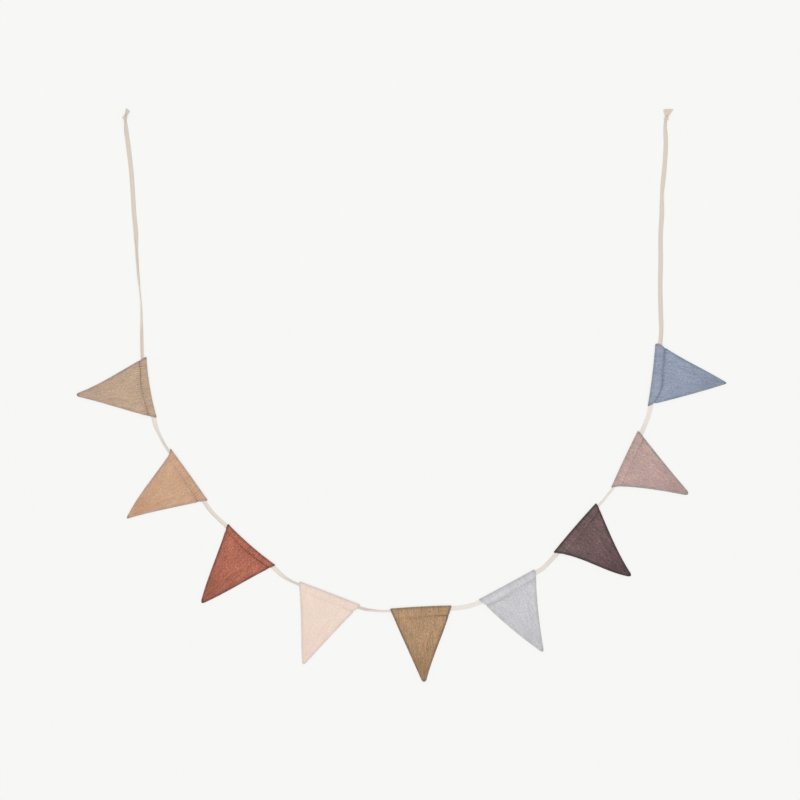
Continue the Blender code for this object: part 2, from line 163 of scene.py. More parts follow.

# How each pennant is sewn. A row gives the stitches' distance from the fold, and a pull how hard they
# draw the cloth in and how deep its painted groove shade is, at six even places from left to right; width
# is how wide the drawn-in band of painted groove shade is. Nicks are how far the row pulls the two sides in,
# and puckers the creases that run away from the row in the left and the right half, with painted shade
# in them. Then how strongly a painted highlight shows along the casing's ridge, the ridge's distance from
# the fold, and how high the crinkles stand.
ROW_PLACES = (0.0, 0.2, 0.4, 0.6, 0.8, 1.0)
Sewing = namedtuple(
    "Sewing", "row pull width nick_left nick_right pucker_left pucker_right crest ridge crinkle"
)
SEWING = {
    "sand": Sewing((16.5, 16.4, 18.5, 19, 17, 16.5),
        (0.9, 0.8, 0.6, 0.2, 0.45, 1), 1.3, 0.6, 0.8, 1, 0.6, 0.2, 12, 1),
    "caramel": Sewing((17, 15.8, 15.9, 17, 17, 19),
        (0.1, 0.2, 0.2, 0.15, 0.2, 0.7), 1.5, 0.5, 1.2, 0.2, 0.8, 0.2, 12, 0.7),
    "rust": Sewing((14.5, 14.4, 16.2, 15.6, 15, 13.6),
        (0, 0.4, 0.6, 0.8, 1, 1), 1.3, 1, 0.8, 0.9, 0.7, 0.4, 10.5, 1.1),
    "blush": Sewing((16, 16.5, 18, 17.5, 18.5, 19.5),
        (0.05, 0.15, 0.1, 0, 0.1, 0.5), 1.5, 0.4, 2.4, 0.1, 0.1, 0.1, 13, 0.5),
    "ochre": Sewing((22, 22.5, 23.5, 21.5, 21.2, 21.8),
        (0.2, 0.05, 0, 0.15, 0.9, 0.7), 1.4, 0.3, 0.8, 0.5, 0.4, 0.7, 15.5, 1.1),
    "grey": Sewing((20, 22.8, 22.5, 20, 19, 18.5),
        (0.4, 0.5, 0.25, 0, 0.15, 0.25), 3.6, 2, 0.6, 0.3, 0.3, 0.8, 13, 0.9),
    "plum": Sewing((19.5, 20.5, 21, 19.5, 19, 15.5),
        (0, 0.05, 0, 0.2, 1, 1), 1.5, 0.5, 0.4, 0.4, 0.4, 1.2, 16.3, 0.8),
    "mauve": Sewing((19, 18.5, 19, 18.5, 19.3, 18.7),
        (0.5, 0.15, 0, 0.15, 0.4, 0.7), 1.6, 0.4, 0.4, 0.3, 0.3, 0.8, 13.8, 0.9),
    "blue": Sewing((12.5, 23.2, 25, 22.8, 22.6, 22.5),
        (0.5, 0.7, 0.6, 0.5, 0.65, 0.7), 3.4, 2, 1.3, 0.3, 0.3, 0.3, 12.5, 0.8),
}
NICK_REACH = 3.0  # how far up and down a side a nick spreads
PULL_DEPTH = 0.35
SLACK_RISE = 0.45  # how far a slack row's cloth stands up out of the groove
PUCKER_PITCH = 5.0
PUCKER_HEIGHT = 0.42
PUCKER_REACH = 10.0
PUCKER_SHADE = 0.55  # how much painted shade darkens the creases between puckers
PUCKER_SWAY, PUCKER_SWAY_OVER = 0.35, 9.0  # so that the puckers aren't evenly spaced
GROOVE_WIDE = 1.2
GROOVE_SHADE_DEPTH = 0.62  # how far the hardest drawn row turns to its thread's colour under painted groove shade
# The painted highlight along the casing's ridge: how much lighter it makes the cloth, and how wide it is
RIDGE_HIGHLIGHT_GAIN = 0.12
RIDGE_HIGHLIGHT_WIDE = 3.2
RIM_SHADE_FULL, RIM_SHADE_ENDS = 2.4, 7.0  # the rim's painted shade is at its full depth to here from the side, and ends there
# The painted shade along the rounded fold, at its full depth to here and ending there
FOLD_RIM_SHADE_FULL, FOLD_RIM_SHADE_ENDS = 1.8, 7.5
TIP_FROM, TIP_FULL = 68.0, 145.0  # the cloth deepens towards its tip over this stretch
END_FULL, END_ENDS = 2.0, 9.0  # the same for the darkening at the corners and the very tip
EDGE_ROUND = 1.6  # how far in the sides' roundness reaches
SEAM_CREST = 3.0  # the turned-through seam stands up this far inside the side
SEAM_ALLOWANCE = 7.5  # the seam's cut edges lie inside the pennant up to here
SEAM_WIDE = 1.1
SEAM_HEIGHT = 0.28

# The crinkle of the cloth, as ridges that run down from the casing: distance between them, height, how
# far each wanders sideways, and the length over which it wanders there and back.
Ridges = namedtuple("Ridges", "pitch height wander over")
CRINKLE = (
    Ridges(46, 0.22, 5, 195),
    Ridges(17, 0.14, 3, 90),
    Ridges(8.6, 0.13, 2, 61),
    Ridges(5.1, 0.10, 1.3, 37),
)
PATCH_SIZE = 38.0  # the crinkle comes and goes in patches of about this size

# How far the crinkles' painted light and shade, the flecks and the clouds lighten and darken a cloth of
# full weave, and the drifts in the dye change its hue
CRINKLE_SHADE_TONE, FLECK_TONE, CLOUD_TONE, DRIFT_TONE = 0.15, 0.25, 0.09, 0.26
WEAVE_PAINTED_LIGHT = 0.2  # painted light on the threads' crossings against painted shade in the gaps: how much lighter they are
GROOVE_SHADE_SHARE = 0.55  # the drawn-in row's colour under painted groove shade, as a share of its thread's
PAINTED = ("rim", "thread_and_groove_shade", "shade", "deep")  # what each point of a cloth says about its colour, including painted shade and highlight

STITCH_LENGTH = 2.6
STITCH_GAP = 0.5
THREAD_RADIUS = 0.2
STITCH_HUMP, STITCH_SINK = 0.30, 0.12  # how high a stitch arches, and how deep its ends sink in
ROW_MARGIN = 1.5  # the row of stitches stops this far from each side
BACKSTITCHES = 4  # stitches sewn twice over at each end of the row
BACKSTITCH_SHIFT = 0.7

# The tape between the casings: where its middle lies, how far it rolls to one side, the share of its
# width that shows, less where it folds lengthwise over itself, and how far a painted highlight pales it.
# The first run is the left free end and the last one the right.
Stop = namedtuple("Stop", "x y roll wide pale", defaults=(0.0,))
TAPE_RUNS = [[Stop(*row) for row in run] for run in (
    ((-607.85, 862.8, 10, 0.6), (-605.2, 839, 12, 0.9), (-600.8, 803, 5, 1),
     (-595.6, 759, 0, 1), (-591.2, 703, 0, 0.95), (-588.7, 659, 0, 1),
     (-584.5, 617, 6, 0.97), (-582.5, 574, 15, 0.64), (-579.7, 529, 20, 0.54),
     (-575.6, 486, 20, 0.31, 0.4), (-573.3, 463, 15, 0.26, 0.5), (-572.1, 430, 15, 0.46, 0.2),
     (-571.5, 388, 8, 0.7)),
    ((-541.6, 192, 0, 0.92, 0.5), (-534.5, 175, 12, 0.7, 0.6), (-522, 150, 12, 0.6, 0.3)),
    ((-425, 10, 0, 0.86, 0.4), (-403, -14, 8, 0.8, 0.5)),
    ((-270.5, -132, 0, 0.95, 0.5), (-256.5, -143.3, 10, 0.74, 0.5), (-240, -152.6, 15, 0.46)),
    ((-80, -213, 10, 0.64), (-61, -215.6, 15, 0.52, 0.3), (-42, -217.6, 10, 0.52, 0.6)),
    ((129, -209.8, 0, 1, 0.7), (154, -204.6, 6, 1, 0.7)),
    ((306, -126.6, 4, 1, 0.5), (326, -108, 0, 1, 0.4)),
    ((442, 24, 12, 0.52, 0.6), (454, 39.5, 12, 0.52, 0.6)),
    ((532.5, 186, 0, 1, 0.5), (542.5, 211.5, 6, 0.95, 0.6)),
    ((570.7, 397, 8, 0.85), (570.1, 436, 4, 1), (568.9, 490, 0, 1),
     (569.7, 552, 6, 1), (569.8, 610, 0, 1), (572.3, 660, 8, 1),
     (572.2, 700, 16, 0.74), (575.6, 733, 6, 1), (579.2, 770, 0, 1),
     (581.3, 815, 0, 1), (580.45, 860.75, 8, 0.64)),
)]
TAPE_COLOUR = "#DCD1C4"
# The tape's greyer and warmer clouds, and the near-white of its painted highlight
TAPE_GREYER, TAPE_WARMER, TAPE_HIGHLIGHT = "#D8D0C5", "#E3D3C3", "#F3EFEA"

# A knot in its own frame: the tail points along x, y is to its left. The turns are the places that the
# one strand of gathered tape passes through, with its width and thickness there. The tail widens from
# its neck to its end, late with a flare above 1 and early with one below, and a skew is how much further
# its left edge reaches than its middle.
Turn = namedtuple("Turn", "x y z wide thick")
Knot = namedtuple(
    "Knot", "name x y heading squeeze turns tail_long tail_neck tail_end tail_flare tail_skew tail_folds"
)
LEFT_TURNS = [Turn(*row) for row in (
    (-6, -3.2, 1.9, 5, 2.2), (-3.6, -1.8, 2.6, 4.6, 3), (-0.8, -0.4, 3.4, 4.8, 3.6),
    (1.5, -1.4, 4.6, 4.8, 3.2), (1.1, -3.2, 3.4, 4.8, 3), (-1, -3, 2.1, 4.8, 3.2),
    (-2.2, 0.2, 2.1, 5.2, 3.4), (-1.9, 3, 3.2, 5.4, 3.2), (-0.2, 2.9, 5.2, 5.4, 3.2),
    (0.9, 0.6, 6, 5.6, 3), (1.1, -1.8, 5, 5.4, 3), (2.4, -1.9, 2.8, 4.8, 3),
    (4.2, -0.6, 2.4, 4.8, 3.2), (6.4, 0, 2.6, 6, 2.2),
)]
RIGHT_TURNS = [Turn(*row) for row in (
    (-6.2, -0.6, 1.9, 5, 2.2), (-3.8, -0.2, 2.6, 4.8, 3), (-0.8, 0.5, 3.4, 5, 3.6),
    (1.6, 1.6, 4.6, 5, 3.2), (1.2, 3.3, 3.4, 5, 3), (-1, 3.1, 2.1, 5, 3.2),
    (-2.2, -0.1, 2.1, 5.4, 3.4), (-1.9, -3.1, 3.2, 5.6, 3.2), (0, -3, 5.2, 5.6, 3.2),
    (1.1, -0.5, 6, 5.8, 3), (1.4, 1.9, 5, 5.4, 3), (2.6, 2, 2.8, 4.8, 3),
    (4.4, 0.6, 2.4, 4.8, 3.2), (6.6, 0, 2.6, 5.6, 2.2),
)]
KNOTS = (
    Knot("knot_left", -608.6, 867.9, 68, 0.96, LEFT_TURNS, 17, 6, 10.5, 1.5, 1.8, 2),
    Knot("knot_right", 581.6, 865.9, 76, 1, RIGHT_TURNS, 20, 5.6, 21, 0.8, -3.2, 3),
)
KNOT_CORE = 3.4  # height of the knot's middle, which its strands are flattened towards
STRAND_AROUND = 20
CREASES, CREASE_DEPTH = 5, 0.10  # creases round a strand
TAIL_ROWS, TAIL_COLUMNS = 22, 41
TAIL_THICK = 0.9
TAIL_BULGE = 1.2  # how much further the middle of its end reaches
TAIL_FOLD = 0.75  # height of its lengthwise folds
TAIL_LOW, TAIL_DROP = 1.5, 1.4  # its height at the end, and how much higher it leaves the knot
TAIL_RIB, TAIL_RIBS = 0.12, 23
FRAY_THREADS = 26
FRAY_LENGTH = 1.6
FRAY_RADIUS = 0.16


def linear(hex_colour):
    """An sRGB hex colour as linear red, green, blue and alpha."""
    parts = [int(hex_colour[i:i + 2], 16) / 255 for i in (1, 3, 5)]
    return [c / 12.92 if c <= 0.04045 else ((c + 0.055) / 1.055) ** 2.4 for c in parts] + [1.0]


def eased(start, end, share):
    return start + (end - start) * share * share * (3 - 2 * share)


def add(tree, kind, links=None, **settings):
    """Adds a node to a material: settings set its properties, links fill its inputs by name or number."""
    node = tree.nodes.new("ShaderNode" + kind)
    for key, value in settings.items():
        setattr(node, key, value)
    for key, value in (links or {}).items():
        if isinstance(value, bpy.types.NodeSocket):
            tree.links.new(value, node.inputs[key])
        else:
            node.inputs[key].default_value = value
    return node


def new_surface(name, roughness, sheen, sheen_tint):
    """A material with plain shader numbers set on the sockets; returns it, its tree and its shader."""
    material = bpy.data.materials.new(name)
    material.use_nodes = True
    shader = material.node_tree.nodes["Principled BSDF"]
    for socket, value in (
        ("Metallic", 0.0), ("Roughness", roughness), ("IOR", COTTON_IOR),
        ("Specular IOR Level", DRY_SPECULAR), ("Sheen Weight", sheen), ("Sheen Roughness", 0.6),
        ("Sheen Tint", linear(sheen_tint)),
    ):
        shader.inputs[socket].default_value = value
    return material, material.node_tree, shader


def double_gauze(pennant):
    """Cotton double gauze: two open plain weaves caught together, washed so that they shrink and crinkle.

    The eye gets a dry, matt cloth, broken up by wavering crinkles that run down the grain, painted lighter
    and darker as light and shade, and by flecks of uneven yarn, with soft warm and cool clouds in the dye,
    a deeper tip, painted shade on the rims where the cloth turns under, and the thread's colour under
    painted groove shade where the stitches draw it in.
    """
    dye = DYES[pennant.name]
    material, tree, shader = new_surface("double_gauze_" + pennant.name, 0.92, 0.12, dye.body)
    grain = add(tree, "Attribute", attribute_name="grain").outputs["Vector"]

    # Crinkles, 4.2 mm apart across the cloth and some 26 mm long
    stretched = add(tree, "VectorMath", {0: grain, 1: (1 / 4.2, 1 / 26.0, 1.0)}, operation="MULTIPLY")
    crinkles = add(tree, "TexNoise",
                   {"Vector": stretched.outputs[0], "Scale": 1.0, "Detail": 2.0, "Distortion": 0.7})
    # The yarns lie 0.4 mm apart, too fine to show, so their flecks are drawn 1.8 mm wide and 4.8 mm long
    thinner = add(tree, "VectorMath", {0: grain, 1: (1 / 1.8, 1 / 4.8, 1.0)}, operation="MULTIPLY")
    flecks = add(tree, "TexNoise", {"Vector": thinner.outputs[0], "Scale": 1.0, "Detail": 1.0})
    # Warm and cool drifts in the dye, about 13 mm across, and paler and deeper clouds about 40 mm across
    drifts = add(tree, "TexNoise", {"Vector": grain, "Scale": 1 / 13.0, "Detail": 2.0})
    clouds = add(tree, "TexNoise", {"Vector": grain, "Scale": 1 / 40.0, "Detail": 1.0})
    # The threads of the weave, drawn 0.9 mm apart, about twice as far as they lie
    warp, weft = (add(tree, "TexWave", {"Vector": grain, "Scale": WAVE_TURN / 0.9}, bands_direction=way)
                  for way in "XY")
    weave = add(tree, "Math", {0: warp.outputs["Fac"], 1: weft.outputs["Fac"]}, operation="MULTIPLY")

    rim, drawn, shade, deep = (add(tree, "Attribute", attribute_name=name).outputs["Fac"] for name in PAINTED)
    # Painted light on the crossings of the threads and painted shade in the gaps between them
    threads = add(tree, "MapRange", {"Value": weave.outputs[0], "To Min": 1.0, "To Max": 1 + WEAVE_PAINTED_LIGHT})
    value = add(tree, "Math", {0: shade, 1: threads.outputs[0]}, operation="MULTIPLY").outputs[0]
    # The crinkles' lightening and darkening is painted light and shade; the flecks and the clouds are the
    # yarn's and the dye's own
    for noise, tone in ((crinkles, CRINKLE_SHADE_TONE), (flecks, FLECK_TONE), (clouds, CLOUD_TONE)):
        spread = tone * dye.weave
        part = add(tree, "MapRange", {"Value": noise.outputs["Fac"], "From Min": 0.3, "From Max": 0.7,
                                      "To Min": 1 - spread, "To Max": 1 + spread}, clamp=False)
        value = add(tree, "Math", {0: value, 1: part.outputs[0]}, operation="MULTIPLY").outputs[0]
    ground = add(tree, "Mix", {0: deep, 6: linear(dye.body), 7: linear(dye.tip)}, data_type="RGBA")
    most = DRIFT_TONE * dye.drift
    tint = add(tree, "VectorMath",
               {0: drifts.outputs["Color"], 1: [most] * 3, 2: [1 - most / 2] * 3}, operation="MULTIPLY_ADD")
    tinted = add(tree, "VectorMath", {0: ground.outputs[2], 1: tint.outputs[0]}, operation="MULTIPLY")

    # Painted shade where the cloth turns under at its rim, and in the row of stitches the thread's colour
    # under painted groove shade
    rim_shaded = add(tree, "Mix", {0: rim, 6: tinted.outputs[0], 7: linear(dye.rim)}, data_type="RGBA")
    groove_shaded_thread = [GROOVE_SHADE_SHARE * c for c in linear(dye.thread)[:3]] + [1.0]
    sewn = add(tree, "Mix", {0: drawn, 6: rim_shaded.outputs[2], 7: groove_shaded_thread}, data_type="RGBA")
    dyed = add(tree, "VectorMath", {0: sewn.outputs[2], "Scale": value}, operation="SCALE")
    tree.links.new(dyed.outputs[0], shader.inputs["Base Color"])

    crinkled = add(tree, "Bump", {"Height": crinkles.outputs["Fac"], "Strength": 0.5 * dye.weave,
                                  "Distance": 1.2 * MM})
    flecked = add(tree, "Bump", {"Height": flecks.outputs["Fac"], "Strength": 0.5 * dye.weave,
                                 "Distance": 0.5 * MM, "Normal": crinkled.outputs[0]})
    woven = add(tree, "Bump", {"Height": weave.outputs[0], "Strength": 0.6, "Distance": 0.4 * MM,
                               "Normal": flecked.outputs[0]})
    tree.links.new(woven.outputs[0], shader.inputs["Normal"])
    return material


def sewing_thread(pennant):
    """Spun sewing thread, dyed close to its cloth: matt, with a fine twist along it."""
    colour = DYES[pennant.name].thread
    material, tree, shader = new_surface("sewing_thread_" + pennant.name, 0.75, 0.1, colour)
    grain = add(tree, "Attribute", attribute_name="grain").outputs["Vector"]
    # The twist goes once round in 0.8 mm
    twist = add(tree, "TexWave", {"Vector": grain, "Scale": WAVE_TURN / 0.8}, bands_direction="DIAGONAL")
    shade = add(tree, "MapRange", {"Value": twist.outputs["Fac"], "To Min": 0.75, "To Max": 1.1})
    dyed = add(tree, "VectorMath", {0: linear(colour)[:3], "Scale": shade.outputs[0]}, operation="SCALE")
    tree.links.new(dyed.outputs[0], shader.inputs["Base Color"])
    ridged = add(tree, "Bump", {"Height": twist.outputs["Fac"], "Strength": 0.5, "Distance": 0.1 * MM})
    tree.links.new(ridged.outputs[0], shader.inputs["Normal"])
    return material


def cotton_tape():
    """Woven cotton tape, unbleached: a narrow herringbone weave with firm edges, matt and ivory.

    The eye gets zigzag ribs across it, warmer and darker between them where shade is painted, slightly
    greyer long stretches, and near-white stretches where a highlight is painted.
    """
    material, tree, shader = new_surface("woven_cotton_tape", 0.85, 0.15, TAPE_COLOUR)
    grain = add(tree, "Attribute", attribute_name="grain").outputs["Vector"]
    place = add(tree, "SeparateXYZ", {0: grain})
    # The ribs lean one way and then the other every 2.5 mm across, and lie 1.1 mm apart along the tape
    lean = add(tree, "Math", {0: place.outputs["Y"], 1: 2.5}, operation="PINGPONG")
    slid = add(tree, "Math", {0: place.outputs["X"], 1: lean.outputs[0]}, operation="ADD")
    zigzag = add(tree, "CombineXYZ", {"X": slid.outputs[0]})
    ribs = add(tree, "TexWave", {"Vector": zigzag.outputs[0], "Scale": WAVE_TURN / 1.1}, bands_direction="X")
    # Slubs, 1 mm across and 12 mm long, and clouds about 60 mm long
    thinner = add(tree, "VectorMath", {0: grain, 1: (1 / 12.0, 1.0, 1.0)}, operation="MULTIPLY")
    slubs = add(tree, "TexNoise", {"Vector": thinner.outputs[0], "Scale": 1.0, "Detail": 2.0})
    clouds = add(tree, "TexNoise", {"Vector": grain, "Scale": 1 / 60.0, "Detail": 1.0})
    # Painted shade between the ribs
    rib = add(tree, "MapRange", {"Value": ribs.outputs["Fac"], "To Min": 0.93, "To Max": 1.02})
    slub = add(tree, "MapRange", {"Value": slubs.outputs["Fac"], "To Min": 0.94, "To Max": 1.05})
    shade = add(tree, "Math", {0: rib.outputs[0], 1: slub.outputs[0]}, operation="MULTIPLY")
    hue = add(tree, "Mix", {0: clouds.outputs["Fac"], 6: linear(TAPE_GREYER), 7: linear(TAPE_WARMER)},
              data_type="RGBA")
    # A painted highlight pales the tape towards near-white along some stretches
    pale = add(tree, "Attribute", attribute_name="pale").outputs["Fac"]
    highlighted = add(tree, "Mix", {0: pale, 6: hue.outputs[2], 7: linear(TAPE_HIGHLIGHT)}, data_type="RGBA")
    woven = add(tree, "VectorMath", {0: highlighted.outputs[2], "Scale": shade.outputs[0]}, operation="SCALE")
    tree.links.new(woven.outputs[0], shader.inputs["Base Color"])
    ribbed = add(tree, "Bump", {"Height": ribs.outputs["Fac"], "Strength": 0.5, "Distance": 0.25 * MM})
    tree.links.new(ribbed.outputs[0], shader.inputs["Normal"])
    return material


def floor_paint():
    """Opal acrylic, lit from below: matt, nearly white, with an even glow that drowns most of a shadow."""
    material, tree, shader = new_surface("matt_opal_acrylic", 0.9, 0.0, "#FFFFFF")
    clouds = add(tree, "TexNoise", {"Scale": 2.0, "Detail": 2.0})
    hue = add(tree, "Mix", {0: clouds.outputs["Fac"], 6: linear(FLOOR_COLOUR), 7: linear(FLOOR_CLOUD)},
              data_type="RGBA")
    tree.links.new(hue.outputs[2], shader.inputs["Base Color"])
    shader.inputs["Emission Color"].default_value = linear(GLOW_COLOUR)
    shader.inputs["Emission Strength"].default_value = FLOOR_GLOW
    return material


def placed(name, data):
    """A new object in the scene."""
    item = bpy.data.objects.new(name, data)
    bpy.context.scene.collection.objects.link(item)
    return item


def new_piece(name, points, faces, material, attributes):
    """A smooth-shaded mesh from points in millimetres, with its named attributes, in the bunting's frame."""
    data = bpy.data.meshes.new(name)
    data.from_pydata((np.asarray(points) * MM).tolist(), [], faces)
    for key, values in attributes.items():
        values = np.asarray(values, dtype=float)
        kind = "FLOAT" if values.ndim == 1 else "FLOAT_VECTOR"
        layer = data.attributes.new(key, kind, "POINT")
        layer.data.foreach_set("value" if values.ndim == 1 else "vector", values.ravel())
    mesh = bmesh.new()
    mesh.from_mesh(data)
    bmesh.ops.recalc_face_normals(mesh, faces=mesh.faces)
    mesh.to_mesh(data)
    mesh.free()
    data.polygons.foreach_set("use_smooth", [True] * len(data.polygons))
    data.materials.append(material)
    piece = placed(name, data)
    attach(piece, "root")
    return piece


def tube(middles, acrosses, ups, outline):
    """Points and faces of a closed tube: its middles, the two ways of each cut, and the cuts' outlines."""
    middles, acrosses, ups = (np.asarray(v, dtype=float)[:, None, :] for v in (middles, acrosses, ups))
    cuts, around = outline.shape[:2]
    points = middles + outline[..., 0, None] * acrosses + outline[..., 1, None] * ups
    faces = []
    for start in range(0, (cuts - 1) * around, around):
        for k in range(around):
            n = (k + 1) % around
            faces.append((start + k, start + n, start + around + n, start + around + k))
    faces.append(tuple(range(around)))
    faces.append(tuple((cuts - 1) * around + k for k in range(around)))
    return points.reshape(-1, 3), faces


def directions(middles):
    """The unit direction of a line at each of its points."""
    ways = np.gradient(middles, axis=0)
    return ways / np.linalg.norm(ways, axis=1)[:, None]


def sideways(ways, towards):
    """The two unit directions across a line, the first one square to towards."""
    acrosses = np.cross(ways, towards)
    acrosses /= np.linalg.norm(acrosses, axis=1)[:, None]
    return acrosses, np.cross(acrosses, ways)


def run_along(line):
    """The distance run along a line at each of its points."""
    return np.concatenate([[0.0], np.cumsum(np.linalg.norm(np.diff(line, axis=0), axis=1))])


def wrapped(run, across):
    """The grain on a tube: the distance run at each cut, and the place across at each point round it."""
    grain = np.zeros((len(run), len(across), 3))
    grain[..., 0] = run[:, None]
    grain[..., 1] = across
    return grain.reshape(-1, 3)


def joined(parts):
    """Several (points, faces, grain) as one."""
    points, faces, grains, start = [], [], [], 0
    for part_points, part_faces, part_grain in parts:
        points.append(part_points)
        grains.append(part_grain)
        faces += [tuple(i + start for i in face) for face in part_faces]
        start += len(part_points)
    return np.concatenate(points), faces, np.concatenate(grains)


def side_at(pennant, down, hand):
    """Where a side lies, measured along the fold from its middle; hand is -1 on the left, 1 on the right."""
    share = down / pennant.length
    bow = pennant.left_bow if hand < 0 else pennant.right_bow
    sway = pennant.left_sway if hand < 0 else pennant.right_sway
    ear = pennant.left_ear if hand < 0 else pennant.right_ear
    inward = share * (1 - share) * (4 * bow + 10 * (1 - 2 * share) * sway)
    half = pennant.width / 2
    slant = math.hypot(pennant.length, half) / pennant.length
    cut_back = ear * np.maximum(0.0, 1 - down / EAR_REACH) ** 2
    return hand * half + (pennant.lean - hand * half) * share - hand * (inward * slant + cut_back)


def on_pennant(pennant, along, down):
    """A place on a pennant, in the bunting's frame."""
    heading = math.radians(pennant.heading)
    x = pennant.x + math.cos(heading) * along + math.sin(heading) * down
    y = pennant.y + math.sin(heading) * along - math.cos(heading) * down
    return x, y


def casing_stops(pennant, before, after):
    """The tape's stops in a casing: past each mouth, and midway. Each ends with its painted highlight and
    lift.
    """
    enter = side_at(pennant, pennant.tape_in, -1) - MOUTH_RUN
    leave = side_at(pennant, pennant.tape_out, 1) + MOUTH_RUN
    return [
        (*on_pennant(pennant, enter, pennant.tape_in), 0.0, before.wide, before.pale, TAPE_LIFT),
        (*on_pennant(pennant, 0.0, TAPE_DEEP + pennant.fold_bow), 0.0, 1.0, 0.0, TAPE_LIFT),
        (*on_pennant(pennant, leave, pennant.tape_out), 0.0, after.wide, after.pale, TAPE_LIFT),
    ]


def into_knot(stop, knot):
    """Where the gathered tape ends inside its knot."""
    x = stop.x + (knot.x - stop.x) * ENTRY_SHARE
    y = stop.y + (knot.y - stop.y) * ENTRY_SHARE
    return x, y, 0.0, ENTRY_WIDE, 0.0, ENTRY_LIFT


def tape_line():
    """The tape from knot to knot: its places, and its roll, width, painted highlight and lift at each."""
    stops = [into_knot(TAPE_RUNS[0][0], KNOTS[0])]
    for i, run in enumerate(TAPE_RUNS):
        stops += [(*stop, 0.0) for stop in run]
        if i < len(PENNANTS):
            stops += casing_stops(PENNANTS[i], run[-1], TAPE_RUNS[i + 1][0])
    stops.append(into_knot(TAPE_RUNS[-1][-1], KNOTS[1]))
    places = np.array([stop[:2] for stop in stops])
    gaps = np.linalg.norm(np.diff(places, axis=0), axis=1)
    ways = np.diff(places, axis=0) / gaps[:, None]
    before, after = gaps[:-1, None], gaps[1:, None]
    turned = (ways[1:] * before + ways[:-1] * after) / (before + after)
    tangents = np.concatenate([ways[:1], turned, ways[-1:]])
    line, states = [], []
    for i, gap in enumerate(gaps):
        steps = math.ceil(gap / TAPE_STEP)
        for k in range(steps + (i == len(gaps) - 1)):
            t = k / steps
            place = (2 * t ** 3 - 3 * t ** 2 + 1) * places[i] + (3 * t ** 2 - 2 * t ** 3) * places[i + 1]
            place += (t ** 3 - 2 * t ** 2 + t) * gap * tangents[i] + (t ** 3 - t ** 2) * gap * tangents[i + 1]
            line.append((place[0], place[1] - MIDDLE_Y, 0.0))
            states.append([eased(stops[i][n], stops[i + 1][n], t) for n in (2, 3, 4, 5)])
    line = np.array(line)
    for _ in range(TAPE_SOFTENED):
        line[1:-1] = (line[:-2] + 2 * line[1:-1] + line[2:]) / 4
    return line, np.array(states).T


def folded_tape(wide, roll, lift):
    """The tape's outline at each cut, across and up, folded lengthwise over itself until only wide shows."""
    spread = np.linspace(0.0, TAPE_WIDTH, TAPE_COLUMNS)
    shows = TAPE_WIDTH * wide[:, None]
    slope = 0.0
    for fold, turn in ((1, math.pi), (2, -math.pi), (3, math.pi)):
        slope = slope + turn * np.clip((spread - fold * shows) / FOLD_ARC, 0, 1)
    between = (slope[:, 1:] + slope[:, :-1]) / 2
    step = spread[1]
    across = np.pad(np.cumsum(np.cos(between), axis=1) * step, ((0, 0), (1, 0)))
    up = np.pad(np.cumsum(np.sin(between), axis=1) * step, ((0, 0), (1, 0)))
    across -= (across.max(axis=1, keepdims=True) + across.min(axis=1, keepdims=True)) / 2

    from_edge = np.minimum(spread, TAPE_WIDTH - spread)
    half = TAPE_THICK / 2 * (1 + SELVEDGE_RISE * np.exp(-((from_edge - SELVEDGE) / SELVEDGE_WIDE) ** 2))
    half = half * np.sqrt(np.clip(from_edge / EDGE_SOFT, 0.1, 1))
    upper = np.stack([across - np.sin(slope) * half, up + np.cos(slope) * half], axis=2)
    lower = np.stack([across + np.sin(slope) * half, up - np.cos(slope) * half], axis=2)
    outline = np.concatenate([upper, lower[:, ::-1]], axis=1)
    tilt = np.radians(roll)[:, None]
    level = outline[..., 0] * np.cos(tilt) - outline[..., 1] * np.sin(tilt)
    height = outline[..., 0] * np.sin(tilt) + outline[..., 1] * np.cos(tilt)
    height += lift[:, None] - height.min(axis=1, keepdims=True)
    return np.stack([level, height], axis=2), np.concatenate([spread, spread[::-1]])


def make_tape(material):
    """The one tape through all the casings."""
    line, (roll, wide, pale, lift) = tape_line()
    ways = directions(line)
    acrosses = np.stack([ways[:, 1], -ways[:, 0], np.zeros(len(ways))], axis=1)
    ups = np.zeros_like(acrosses) + (0.0, 0.0, 1.0)
    outline, spread = folded_tape(wide, roll, lift)
    points, faces = tube(line, acrosses, ups, outline)
    around = outline.shape[1]
    middles = points.reshape(len(line), around, 3).mean(axis=1)
    run = run_along(middles)
    attributes = {"grain": wrapped(run, spread), "pale": np.repeat(pale, around)}
    tape = new_piece("woven_tape", points, faces, material, attributes)
    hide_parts("tape")
    return tape


def smooth_through(places, steps):
    """A smooth curve through places, each a row of numbers, with that many steps from one to the next."""
    places = np.array(places, dtype=float)
    padded = np.concatenate([[2 * places[0] - places[1]], places, [2 * places[-1] - places[-2]]])
    line = []
    for i in range(len(places) - 1):
        a, b, c, d = padded[i:i + 4]
        for k in range(steps + (i == len(places) - 2)):
            t = k / steps
            line.append(0.5 * (2 * b + (c - a) * t + (2 * a - 5 * b + 4 * c - d) * t ** 2
                               + (3 * b - a - 3 * c + d) * t ** 3))
    return np.array(line)


def knot_strand(knot):
    """The gathered tape's one path through the knot, as a tube with creases along it."""
    line = smooth_through(knot.turns, 7)
    middles = line[:, :3] * (knot.squeeze, knot.squeeze, 1.0)
    ways = directions(middles)
    inward = np.array([0.0, 0.0, KNOT_CORE]) - middles
    inward[:, 0] += middles[:, 0] * 0.5
    acrosses, ups = sideways(ways, inward)
    angles = np.linspace(0, 2 * np.pi, STRAND_AROUND, endpoint=False)
    creased = 1 + CREASE_DEPTH * np.cos(CREASES * angles)
    outline = np.stack([np.cos(angles) * creased, np.sin(angles) * creased], axis=1)[None] / 2
    outline = outline * line[:, None, 3:5]
    points, faces = tube(middles, acrosses, ups, outline)
    return points, faces, wrapped(np.arange(len(line)), angles * 1.6 + TAPE_WIDTH)


